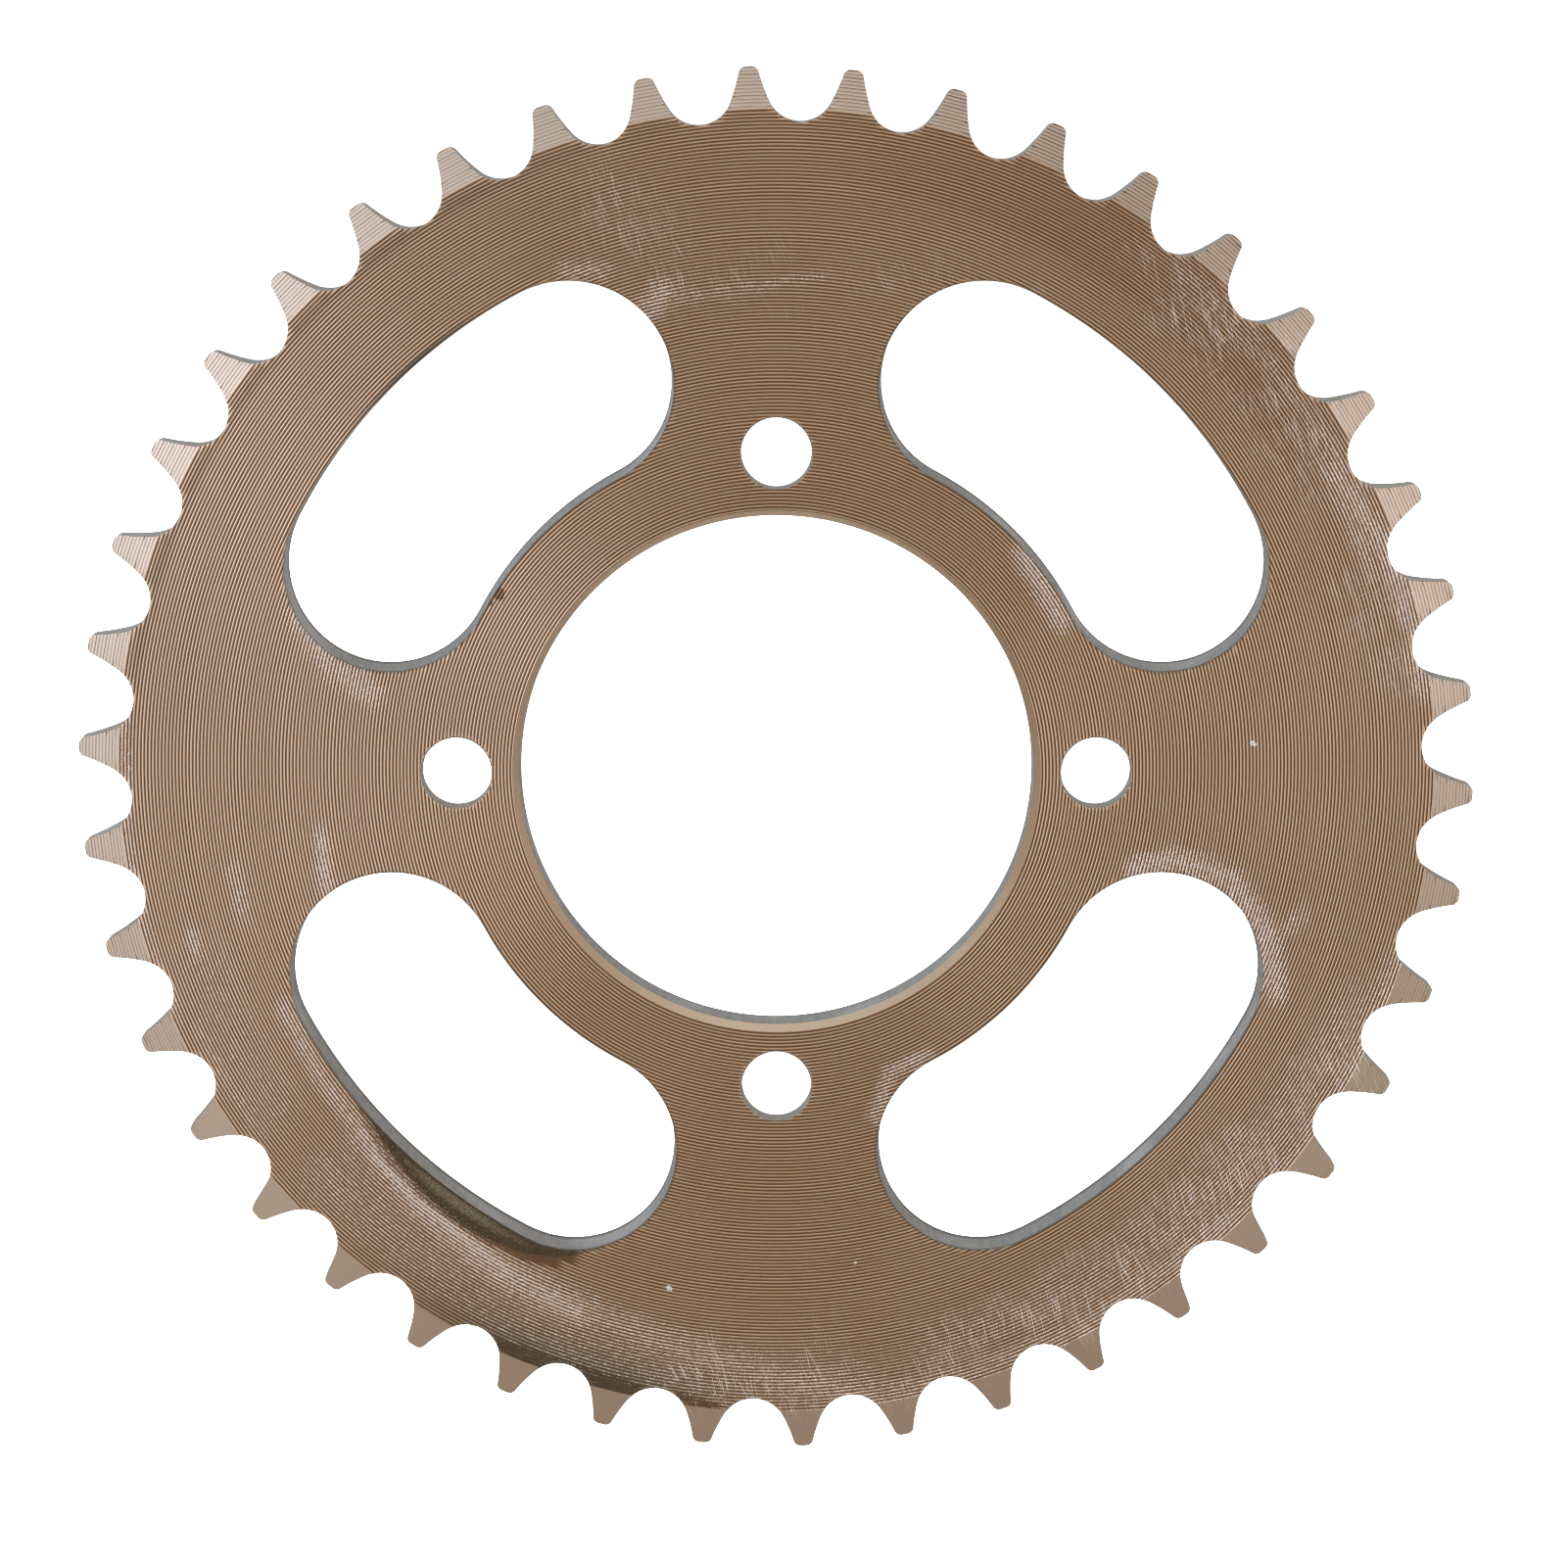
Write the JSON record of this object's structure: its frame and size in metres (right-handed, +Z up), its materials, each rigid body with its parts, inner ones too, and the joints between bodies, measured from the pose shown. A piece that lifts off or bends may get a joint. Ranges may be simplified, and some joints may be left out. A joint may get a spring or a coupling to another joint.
{
  "type": "rear sprocket",
  "caption": "Flat toothed chain wheel with a large central bore, a circle of bolt holes and kidney-shaped lightening windows.",
  "frame": {"origin": "centre of the bore, half-way through the plate's thickness", "axes": "+Y along the bore's axis, from the outer face towards the wheel hub; -Y is the outer face's side; +Z up; +X to the right of someone who looks at the outer face"},
  "size_m": [0.1748, 0.007, 0.1748],
  "materials": {
    "turned_steel": "turned, satin, with a brown tint"
  },
  "bodies": {
    "root": {"sprocket_plate": "turned_steel"}
  },
  "joints": []
}
